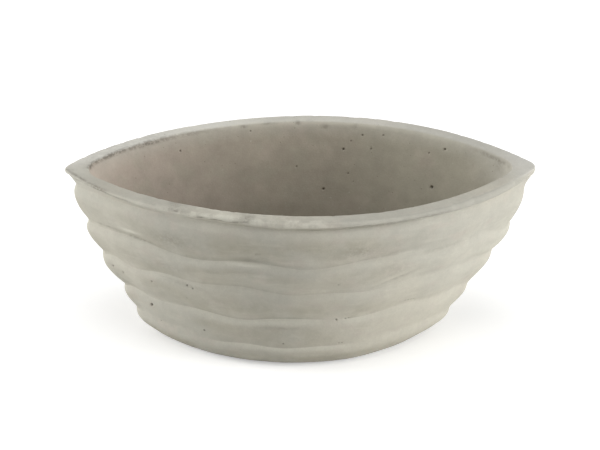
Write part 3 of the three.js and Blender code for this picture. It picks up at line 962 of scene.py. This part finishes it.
class Material:
    """A new material, or the world, built node by node. What is asked for again is shared."""

    def __init__(self, name, made=None):
        self.made = made or bpy.data.materials.new(name)
        self.made.use_nodes = True
        self.tree = self.made.node_tree
        self.tree.nodes.clear()

    def node(self, kind, settings=None, inputs=None, output=0):
        """Adds a node with its settings and the values or wires of its inputs, and gives an output."""
        made = self.tree.nodes.new(kind)
        for name, value in (settings or {}).items():
            setattr(made, name, value)
        for name, value in (inputs or {}).items():
            if isinstance(value, Wire):
                self.tree.links.new(value.socket, made.inputs[name])
            else:
                made.inputs[name].default_value = value
        return None if output is None else Wire(self, made.outputs[output])

    @cache
    def places(self, stretch=(1, 1, 1)):
        """Where on the object a point is, in millimetres, stretched by a factor each way."""
        here = self.node("ShaderNodeTexCoord", output="Object")
        scale = tuple(1 / MM * factor for factor in stretch)
        inputs = {0: here, 1: scale}
        return self.node("ShaderNodeVectorMath", {"operation": "MULTIPLY"}, inputs, "Vector")

    @cache
    def clouds(self, kind):
        """Soft noise from 0 to 1."""
        inputs = {
            "Vector": self.places(kind.stretch),
            "Scale": 1 / kind.size,
            "Detail": kind.detail,
            "Roughness": kind.roughness,
        }
        return self.node("ShaderNodeTexNoise", {}, inputs, "Fac")

    @cache
    def coordinate(self, letter):
        """X, Y or Z on the object, in millimetres."""
        return self.node("ShaderNodeSeparateXYZ", {}, {"Vector": self.places()}, letter)

    @cache
    def attribute(self, name):
        return self.node("ShaderNodeAttribute", {"attribute_name": name}, {}, "Fac")

    def between(self, value, low, high):
        """0 below low and 1 above high, with a smooth change from one to the other."""
        settings = {"interpolation_type": "SMOOTHSTEP"}
        inputs = {"Value": value, "From Min": low, "From Max": high}
        return self.node("ShaderNodeMapRange", settings, inputs, "Result")

    def within(self, value, start, full_from, full_to, end):
        """1 from full_from to full_to, fading to 0 at start and at end."""
        return self.between(value, start, full_from) * (1 - self.between(value, full_to, end))

    def patches(self, kind, low, high):
        """1 where clouds are thick and 0 where they are thin, with a soft edge."""
        return self.between(self.clouds(kind), low, high)

    def mix(self, factor, first, second, blend="MIX"):
        """The mix of two colours, each a wire or three numbers."""
        settings = {"data_type": "RGBA", "blend_type": blend}
        first, second = (c if isinstance(c, Wire) else (*c, 1) for c in (first, second))
        return self.node("ShaderNodeMix", settings, {0: factor, 6: first, 7: second}, 2)

    def shaded(self, colour, amount):
        """A colour made lighter or darker by a factor that varies."""
        grey = self.node("ShaderNodeCombineColor", {}, {0: amount, 1: amount, 2: amount})
        return self.mix(1.0, colour, grey, "MULTIPLY")

    def surface(self, height, bump_distance, **inputs):
        """Ends the material with a Principled surface. Its bump is height times a distance in mm."""
        settings = {"Height": height, "Distance": bump_distance * MM}
        inputs["Normal"] = self.node("ShaderNodeBump", {}, settings, "Normal")
        spaced = {name.replace("_", " "): value for name, value in inputs.items()}
        principled = self.node("ShaderNodeBsdfPrincipled", {}, spaced, "BSDF")
        self.node("ShaderNodeOutputMaterial", {}, {"Surface": principled}, None)
        return self.made


# Linear colours
PALE_CONCRETE = (0.522, 0.497, 0.420)
COOL_CONCRETE = (0.472, 0.457, 0.395)
PINK_CONCRETE = (0.500, 0.462, 0.400)
BROWN_AND_SHADED_CONCRETE = (0.390, 0.366, 0.292)
CHALK_AND_HIGHLIGHT_CONCRETE = (0.600, 0.583, 0.500)
RUBBED_RIM = (0.590, 0.578, 0.530)
LIP_SHADE_GREY = (0.400, 0.388, 0.338)
GRIME_AND_SHADE_COLOUR = (0.190, 0.170, 0.140)
INNER_PINK = (0.385, 0.330, 0.278)
INNER_BROWN = (0.325, 0.290, 0.234)
INNER_OLIVE = (0.330, 0.308, 0.246)
INNER_PALE = (0.430, 0.412, 0.355)
INNER_TIP = (0.440, 0.385, 0.328)
PLUG_BLACK = (0.030, 0.029, 0.027)
PLUG_DUST = (0.16, 0.155, 0.14)
PAD_BLACK = (0.050, 0.048, 0.045)
PAD_DUST = (0.14, 0.135, 0.125)

# Clouds in a finish: about how large their lumps are in millimetres, and how rugged. A stretch above 1
# flattens them that way.
Clouds = namedtuple("Clouds", "size detail roughness stretch", defaults=[(1, 1, 1)])
BROAD = Clouds(95, 2.0, 0.55)
MOTTLES = Clouds(26, 4.0, 0.6)
BLOTCHES = Clouds(9, 4.0, 0.65)
STROKES = Clouds(38, 3.0, 0.6, (1, 1, 5))
TINTS = Clouds(17, 2.0, 0.5, (1, 1, 1.4))
GREENISH = Clouds(15, 3.0, 0.6)
STAINS = Clouds(20, 3.0, 0.5)
SPECKS = Clouds(4, 3.0, 0.7)
FLECKS = Clouds(3.5, 4.0, 0.7)
GRAINS = Clouds(1.4, 2.0, 0.6)
DUST = Clouds(14, 4.0, 0.65)
PLUG_GRAIN = Clouds(0.7, 2.0, 0.6)
PAD_GRAIN = Clouds(0.35, 2.0, 0.6)

# Patches in a finish: the clouds they follow, and how thick these are where a patch begins and is full
PALE_PATCHES = (BROAD, 0.4, 0.62)
PINK_PATCHES = (TINTS, 0.52, 0.68)
BROWN_AND_SHADE_PATCHES = (MOTTLES, 0.3, 0.6)
CHALKY_STROKES = (STROKES, 0.5, 0.72)
RUBBED_PATCHES = (BLOTCHES, 0.42, 0.58)
HOLLOW_PINK_PATCHES = (MOTTLES, 0.5, 0.72)
HOLLOW_GREEN_PATCHES = (GREENISH, 0.48, 0.62)
HOLLOW_SPECKS = (SPECKS, 0.68, 0.76)
DARKENING_FLECKS = (FLECKS, 0.4, 0.55)
DUSTY_PATCHES = (DUST, 0.45, 0.75)

# Where a finish changes, in millimetres: where the change begins and where it is complete, and for a
# stretch between two changes also where it begins to fade and where it is gone.
LEFT_END = (-165, -115)
MIDDLE = (-100, -60, 30, 80)
CALM_RIGHT = (35, 95)
RIGHT_END = (60, 140)
LOW_RIGHT = (100, 125)
LOW_TIERS = (45, 110)
UNDER_LIP = (136, 144)
RUBBED_STRETCH = (-140, -95, -5, 40)
LIP_FACE_BAND = (RIM_LEVEL - 7, RIM_LEVEL - 5.5, RIM_LEVEL - 0.6, RIM_LEVEL)
LIP_FLAT = (RIM_LEVEL - 1.2, RIM_LEVEL - 0.3)
LIP_NEAR = (-30, 0)
LIP_FAR = (-10, 30)
LIP_NEAR_RIGHT = (50, 110)
LIP_FAR_LEFT = (-90, 0)
LIP_FAR_RIGHT = (60, 120)
LIP_POINTS = (165, 192)
HOLLOW_BROWN = (-170, -30)
HOLLOW_OLIVE = (-20, 110)
HOLLOW_PALE = (120, 185)
BROAD_DRIFT = 110           # how far the broad clouds, and the mottles, carry these three to and fro
MOTTLE_DRIFT = 70
HOLLOW_LEFT_POINT = (-172, -150)
HOLLOW_RIGHT_POINT = (150, 172)
HOLLOW_POINT_TOP = (128, 142)
HOLLOW_NEAR_RIM = (RIM_LEVEL - 16, RIM_LEVEL - 1)
HOLLOW_FAR_SIDE = (0, 30)
HOLLOW_MIDDLE = (-90, -20, 80, 150)
HOLLOW_MIDDLE_TOP = (70, 105)
HOLLOW_TOP = (80, 150)
HOLLOW_SHADE = (140, 160)

# The same down a tier, where 0 is its head and 1 its foot
TIER_HEAD = (0.001, 0.01, 0.06, 0.32)
TIER_BODY = (0.12, 0.5)
TIER_FOOT = (0.65, 1.0)

# Shares of a colour where it is fullest, and how far a shade goes, up or down
PINK_SHARE = 0.6
BROWN_AND_SHADE_SHARE = 0.6
BROWN_AND_SHADE_ADDED_IN_MIDDLE = 0.25
BROWN_AND_SHADE_LOST_AT_FOOT = 0.35
CALM_SHARE = 0.65
HEAD_CHALK_AND_HIGHLIGHT = 0.6
HEAD_CHALK_AND_HIGHLIGHT_LOST = 0.5
STROKE_CHALK = 0.25
RIGHT_CHALK = 0.2
LEFT_COOL = 0.35
FAR_RUB = 0.5
FAR_LEFT_RUB = 0.35
POINT_RUB = 0.7
FAR_LEFT_POINT_RUB = -0.5
FAR_LEFT_SHADE = 0.14
FAR_RIGHT_SHADE = -0.1
NEAR_SHADE = -0.12
NEAR_RIGHT_SHADE = 0.06
EDGE_CHALK = 0.7
WEAR_SHARE = 0.9
HOLLOW_PALE_SHARE = 0.6
HOLLOW_PINK_SHARE = 0.4
HOLLOW_GREEN_SHARE = 0.45
LEFT_POINT_SHARE = 0.8
RIGHT_POINT_SHARE = 0.7
NEAR_RIM_COOL = 0.45
SPECK_CHALK = 0.3
HOLLOW_LIGHT = 0.74
STAIN_LIGHT = 0.36
TOP_LIGHT = 0.16
MIDDLE_LIGHT = 0.14
MIDDLE_LIGHT_LOW = 0.3      # the share of it that reaches down to the floor
RIGHT_SHADE = -0.07
GRIME_AND_SHADE_SHARE = 0.9
DARKENING_BETWEEN_FLECKS = 0.35
BLOTCH_SHADE = 0.24
GRAIN_SHADE = 0.16
PINHOLE_SHADE = -0.4
PIT_SHADE = -0.45
DUST_SHARE = 0.35
RUBBER_DARKEST = 0.85
RUBBER_GRAIN_SHADE = 0.3

# Roughness and bump, the distance of the bump in millimetres
CONCRETE_ROUGHNESS = 0.86
BLOTCH_ROUGHNESS = 0.1
CONCRETE_SPECULAR = 0.3
CONCRETE_BUMP = 0.35
BLOTCH_BUMP = 0.5
GRAIN_BUMP = 0.3
STROKE_BUMP = 0.5
PINHOLE_BUMP = -0.5
PLUG_ROUGHNESS = 0.5
PAD_ROUGHNESS = 0.75
DUST_ROUGHNESS = 0.2
RUBBER_SPECULAR = 0.4
RUBBER_BUMP = 0.25

# Pinholes, too small to be cut: how far apart they are, how large as a share of that, and how many show
# outside as a share of those inside
PINHOLE_SPACING = 7
PINHOLE_SIZE = (0.03, 0.08)
PINHOLES_OUTSIDE = 0.25


def weathered_and_shaded_tiers(finish):
    """The tiers: browner towards each foot, partly painted shade, and chalky under each head, partly
    painted highlight.
    """
    along = finish.coordinate("X")
    height = finish.coordinate("Z")
    lap = finish.attribute("lap")
    left = 1 - finish.between(along, *LEFT_END)
    middle = finish.within(along, *MIDDLE)
    low = 1 - finish.between(height, *LOW_TIERS)
    under_lip = finish.between(height, *UNDER_LIP)
    calm = finish.attribute("crisp") * (1 - CALM_SHARE * finish.between(along, *CALM_RIGHT))

    skin = finish.mix(finish.patches(*PALE_PATCHES), COOL_CONCRETE, PALE_CONCRETE)
    skin = finish.mix(finish.patches(*PINK_PATCHES) * PINK_SHARE, skin, PINK_CONCRETE)
    # The brown down each tier is partly its own tone and partly painted shade where it turns down to
    # its foot.
    body = finish.between(lap, *TIER_BODY)
    body = body * (1 - BROWN_AND_SHADE_LOST_AT_FOOT * finish.between(lap, *TIER_FOOT) * middle)
    body = body * finish.patches(*BROWN_AND_SHADE_PATCHES) * calm * (1 - left * under_lip)
    brown_and_shade = body * (BROWN_AND_SHADE_SHARE + BROWN_AND_SHADE_ADDED_IN_MIDDLE * middle * (1 - low))
    skin = finish.mix(brown_and_shade, skin, BROWN_AND_SHADED_CONCRETE)
    # The chalk under each tier's head is partly its own pale tone and partly a painted highlight where
    # the head faces up.
    head = finish.within(lap, *TIER_HEAD) * calm * (1 - HEAD_CHALK_AND_HIGHLIGHT_LOST * left)
    head = head * (1 - HEAD_CHALK_AND_HIGHLIGHT_LOST * under_lip * middle) * (HEAD_CHALK_AND_HIGHLIGHT + HEAD_CHALK_AND_HIGHLIGHT * middle * low)
    skin = finish.mix(head.clamped(), skin, CHALK_AND_HIGHLIGHT_CONCRETE)
    skin = finish.mix(finish.patches(*CHALKY_STROKES) * STROKE_CHALK, skin, CHALK_AND_HIGHLIGHT_CONCRETE)
    low_right = finish.between(along, *RIGHT_END) * (1 - finish.between(height, *LOW_RIGHT))
    skin = finish.mix(low_right * RIGHT_CHALK, skin, CHALK_AND_HIGHLIGHT_CONCRETE)
    return finish.mix(left * LEFT_COOL, skin, COOL_CONCRETE)


def weathered_and_shaded_lip(finish, skin):
    """The lip: grey painted shade on its rolled face at the near right, rubbed pale on the far side and
    points.
    """
    along = finish.coordinate("X")
    across = finish.coordinate("Y")
    height = finish.coordinate("Z")
    near = 1 - finish.between(across, *LIP_NEAR)
    near_right = near * finish.between(along, *LIP_NEAR_RIGHT)
    # The grey on the rolled face of the lip at the near right is painted shade.
    skin = finish.mix(finish.within(height, *LIP_FACE_BAND) * near_right, skin, LIP_SHADE_GREY)
    flat = finish.between(height, *LIP_FLAT)
    far = finish.between(across, *LIP_FAR)
    far_left = 1 - finish.between(along, *LIP_FAR_LEFT)
    far_right = far * finish.between(along, *LIP_FAR_RIGHT)
    points = finish.between(along * along, *(x**2 for x in LIP_POINTS))
    rubbed = FAR_RUB * far + POINT_RUB * points
    rubbed = rubbed + (FAR_LEFT_RUB * far + FAR_LEFT_POINT_RUB * points) * far_left
    skin = finish.mix(flat * rubbed.clamped(), skin, RUBBED_RIM)
    # Painted light and shade on the rim's flat: lighter at the far left, darker at the far right and
    # near side, less so near right.
    shade = FAR_LEFT_SHADE * far * far_left + FAR_RIGHT_SHADE * far_right
    shade = shade + NEAR_SHADE * near + NEAR_RIGHT_SHADE * near_right
    return finish.shaded(skin, 1 + flat * shade)


def worn_edges(finish, skin):
    """Chalk where the near left of the rim was rubbed, and where a mark is chalky."""
    rubbed = finish.within(finish.coordinate("X"), *RUBBED_STRETCH)
    worn = finish.attribute("worn") * rubbed * finish.patches(*RUBBED_PATCHES)
    chalk = (worn * EDGE_CHALK + (0 - finish.attribute("soil")).clamped()).clamped()
    return finish.mix(chalk * WEAR_SHARE, skin, CHALK_AND_HIGHLIGHT_CONCRETE)


def stained_and_shaded_hollow(finish):
    """The hollow: pinkish brown at the -X end, greener past the middle, pale at +X and at the rim."""
    along = finish.coordinate("X")
    height = finish.coordinate("Z")
    drift = along + BROAD_DRIFT * (finish.clouds(BROAD) - 0.5)
    drift = drift + MOTTLE_DRIFT * (finish.clouds(MOTTLES) - 0.5)
    hollow = finish.mix(finish.between(drift, *HOLLOW_BROWN), INNER_PINK, INNER_BROWN)
    hollow = finish.mix(finish.between(drift, *HOLLOW_OLIVE), hollow, INNER_OLIVE)
    hollow = finish.mix(finish.between(drift, *HOLLOW_PALE) * HOLLOW_PALE_SHARE, hollow, INNER_PALE)
    hollow = finish.mix(finish.patches(*HOLLOW_PINK_PATCHES) * HOLLOW_PINK_SHARE, hollow, INNER_PINK)
    hollow = finish.mix(finish.patches(*HOLLOW_GREEN_PATCHES) * HOLLOW_GREEN_SHARE, hollow, INNER_OLIVE)
    left_point = 1 - finish.between(along, *HOLLOW_LEFT_POINT)
    hollow = finish.mix(left_point * LEFT_POINT_SHARE, hollow, INNER_TIP)
    far_side = finish.between(finish.coordinate("Y"), *HOLLOW_FAR_SIDE)
    near_rim = finish.between(height, *HOLLOW_NEAR_RIM) * far_side
    hollow = finish.mix(near_rim * NEAR_RIM_COOL, hollow, COOL_CONCRETE)
    right_point = finish.between(along, *HOLLOW_RIGHT_POINT) * finish.between(height, *HOLLOW_POINT_TOP)
    hollow = finish.mix(right_point * RIGHT_POINT_SHARE, hollow, INNER_PALE)
    hollow = finish.mix(finish.patches(*HOLLOW_SPECKS) * SPECK_CHALK, hollow, CHALK_AND_HIGHLIGHT_CONCRETE)
    # Painted light and shade in the hollow: lighter in its middle and towards the rim, darker towards
    # the +X point.
    raised = finish.between(height, *HOLLOW_MIDDLE_TOP)
    middle = finish.within(along, *HOLLOW_MIDDLE)
    middle = middle * (MIDDLE_LIGHT_LOW + (1 - MIDDLE_LIGHT_LOW) * raised)
    light = HOLLOW_LIGHT + STAIN_LIGHT * finish.clouds(STAINS) + MIDDLE_LIGHT * middle
    light = light + TOP_LIGHT * finish.between(height, *HOLLOW_TOP)
    light = light + RIGHT_SHADE * finish.between(along, *HOLLOW_SHADE) * (1 - right_point)
    return finish.shaded(hollow, light)


def concrete():
    """Hand-worked concrete: clouded warm grey, pale on worn edges, browner and darker in the hollow."""
    finish = Material("concrete")
    inside = finish.attribute("inside")
    skin = worn_edges(finish, weathered_and_shaded_lip(finish, weathered_and_shaded_tiers(finish)))
    colour = finish.mix(inside, skin, stained_and_shaded_hollow(finish))
    # The marks darken partly with dirt and chips, partly with painted shade: under the lip, along the
    # inner edge, in creases, low on tiers.
    flecks = DARKENING_BETWEEN_FLECKS + (1 - DARKENING_BETWEEN_FLECKS) * finish.patches(*DARKENING_FLECKS)
    darkened = finish.attribute("soil").clamped() * flecks
    colour = finish.mix((darkened * GRIME_AND_SHADE_SHARE).clamped(), colour, GRIME_AND_SHADE_COLOUR)

    blotches = finish.clouds(BLOTCHES)
    grains = finish.clouds(GRAINS)
    shade = 1 + BLOTCH_SHADE * (blotches - 0.5) + GRAIN_SHADE * (grains - 0.5)
    colour = finish.shaded(colour, shade * (1 + PIT_SHADE * finish.attribute("pit")))

    pinholes = finish.node(
        "ShaderNodeTexVoronoi",
        {"feature": "F1"},
        {"Vector": finish.places(), "Scale": 1 / PINHOLE_SPACING, "Randomness": 1.0},
        "Distance",
    )
    holes = 1 - finish.between(pinholes, *PINHOLE_SIZE)
    holes = holes * (PINHOLES_OUTSIDE + (1 - PINHOLES_OUTSIDE) * inside)
    colour = finish.shaded(colour, 1 + PINHOLE_SHADE * holes)

    bumps = BLOTCH_BUMP * blotches + GRAIN_BUMP * grains
    bumps = bumps + STROKE_BUMP * finish.clouds(STROKES) + PINHOLE_BUMP * holes
    return finish.surface(
        bumps,
        CONCRETE_BUMP,
        Base_Color=colour,
        Roughness=(CONCRETE_ROUGHNESS + BLOTCH_ROUGHNESS * blotches).clamped(),
        Specular_IOR_Level=CONCRETE_SPECULAR,
    )


def rubber(name, colour, dusted, grain, roughness):
    """Dark rubber with a fine moulded grain and pale dust in broad patches."""
    finish = Material(name)
    dust = finish.patches(*DUSTY_PATCHES)
    grains = finish.clouds(grain)
    dusty = finish.mix(dust * DUST_SHARE, colour, dusted)
    return finish.surface(
        grains,
        RUBBER_BUMP,
        Base_Color=finish.shaded(dusty, RUBBER_DARKEST + RUBBER_GRAIN_SHADE * grains),
        Roughness=(roughness + DUST_ROUGHNESS * dust).clamped(),
        Specular_IOR_Level=RUBBER_SPECULAR,
    )


# ---------- Studio ----------

FLOOR_COLOUR = (0.85, 0.85, 0.845)
FLOOR_LIFT = 0.38           # what the camera sees added to the floor, so that it runs into the backdrop
FAR_FLOOR_LIFT = 0.8        # the same beyond the lamps' light, which low views look across
FAR_FLOOR = (600, 1500)     # where the one turns into the other, in millimetres from the bowl
SKY = 0.36
ROOM = 6

Lamp = namedtuple("Lamp", "name place size power")
LAMPS = [
    Lamp("key", (2.05, -0.40, 0.45), 1.1, 38),
    Lamp("side", (-2.05, 0.35, 0.52), 1.0, 33),
    Lamp("top", (0, -0.50, 2.2), 1.3, 17),
]

CAMERA_ELEVATION = math.radians(26)
CAMERA_AZIMUTH = math.radians(-2.44)
CAMERA_ROLL = 0.0113
CAMERA_DISTANCE = 2.2
CAMERA_AIM = Vector((-0.00027, 0, RIM_LEVEL * MM - 0.0549))
LENS = 153.7
SENSOR_WIDTH = 36


def seen_directly(finish):
    """1 on rays that show the backdrop, straight or in a reflection, and 0 on rays of light."""
    straight = finish.node("ShaderNodeLightPath", output="Is Camera Ray")
    glossy = finish.node("ShaderNodeLightPath", output="Is Glossy Ray")
    through = finish.node("ShaderNodeLightPath", output="Is Transmission Ray")
    return (straight + glossy + through).clamped()


def make_floor():
    mesh = bpy.data.meshes.new("floor")
    corners = [(-ROOM, -ROOM, 0), (ROOM, -ROOM, 0), (ROOM, ROOM, 0), (-ROOM, ROOM, 0)]
    mesh.from_pydata(corners, [], [(0, 1, 2, 3)])
    floor = new_object("floor", mesh)
    paint = Material("floor_paint")
    matt = paint.node("ShaderNodeBsdfDiffuse", {}, {"Color": (*FLOOR_COLOUR, 1)}, "BSDF")
    along, across = (paint.coordinate(letter) for letter in "XY")
    far = paint.between((along * along + across * across) ** 0.5, *FAR_FLOOR)
    lift = paint.mix(far, (FLOOR_LIFT,) * 3, (FAR_FLOOR_LIFT,) * 3)
    lighting = {"Color": lift, "Strength": seen_directly(paint)}
    glow = paint.node("ShaderNodeEmission", {}, lighting, "Emission")
    both = paint.node("ShaderNodeAddShader", {}, {0: matt, 1: glow}, "Shader")
    paint.node("ShaderNodeOutputMaterial", {}, {"Surface": both}, None)
    mesh.materials.append(paint.made)


def make_sky():
    world = bpy.data.worlds.new("studio")
    bpy.context.scene.world = world
    sky = Material("sky", world)
    lighting = {"Color": (1, 1, 1, 1), "Strength": SKY + (1 - SKY) * seen_directly(sky)}
    light = sky.node("ShaderNodeBackground", {}, lighting, "Background")
    sky.node("ShaderNodeOutputWorld", {}, {"Surface": light}, None)


def make_lamp(name, place, size, power):
    """A large square lamp that faces the middle of the bowl."""
    lamp = bpy.data.lights.new(name, "AREA")
    lamp.size = size
    lamp.energy = power
    made = new_object(name, lamp)
    made.location = place
    aim = Vector((0, 0, RIM_LEVEL * MM / 2)) - made.location
    made.rotation_euler = aim.to_track_quat("-Z", "Y").to_euler()


def make_camera():
    """The photograph's view: a long lens, a little left of straight on, from 26 degrees up."""
    level_back = Vector((math.sin(CAMERA_AZIMUTH), -math.cos(CAMERA_AZIMUTH), 0))
    back = level_back * math.cos(CAMERA_ELEVATION) + Vector((0, 0, math.sin(CAMERA_ELEVATION)))
    lens = bpy.data.cameras.new("camera")
    lens.sensor_width = SENSOR_WIDTH
    lens.lens = LENS
    camera = new_object("camera", lens)
    camera.location = CAMERA_AIM + back * CAMERA_DISTANCE
    camera.rotation_mode = "QUATERNION"
    roll = Quaternion((0, 0, 1), CAMERA_ROLL)
    camera.rotation_quaternion = (-back).to_track_quat("-Z", "Y") @ roll
    bpy.context.scene.camera = camera


# ---------- Assembly ----------


def dress(piece, node, body, material):
    """The piece takes a node's place, rides on its body and wears its finish."""
    piece.data.materials.append(material)
    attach(piece, body)
    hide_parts(node)


make_camera()
make_floor()
make_sky()
for lamp in LAMPS:
    make_lamp(*lamp)

bpy.context.scene.view_settings.view_transform = "Standard"

dress(make_bowl(), "bowl", "planter", concrete())
plug_rubber = rubber("plug_rubber", PLUG_BLACK, PLUG_DUST, PLUG_GRAIN, PLUG_ROUGHNESS)
dress(make_plug(), "drain_plug", "plug", plug_rubber)
pad_foam = rubber("pad_foam", PAD_BLACK, PAD_DUST, PAD_GRAIN, PAD_ROUGHNESS)
for number in range(1, 5):
    node = f"foot_pad_{number}"
    dress(make_pad(node), node, "planter", pad_foam)
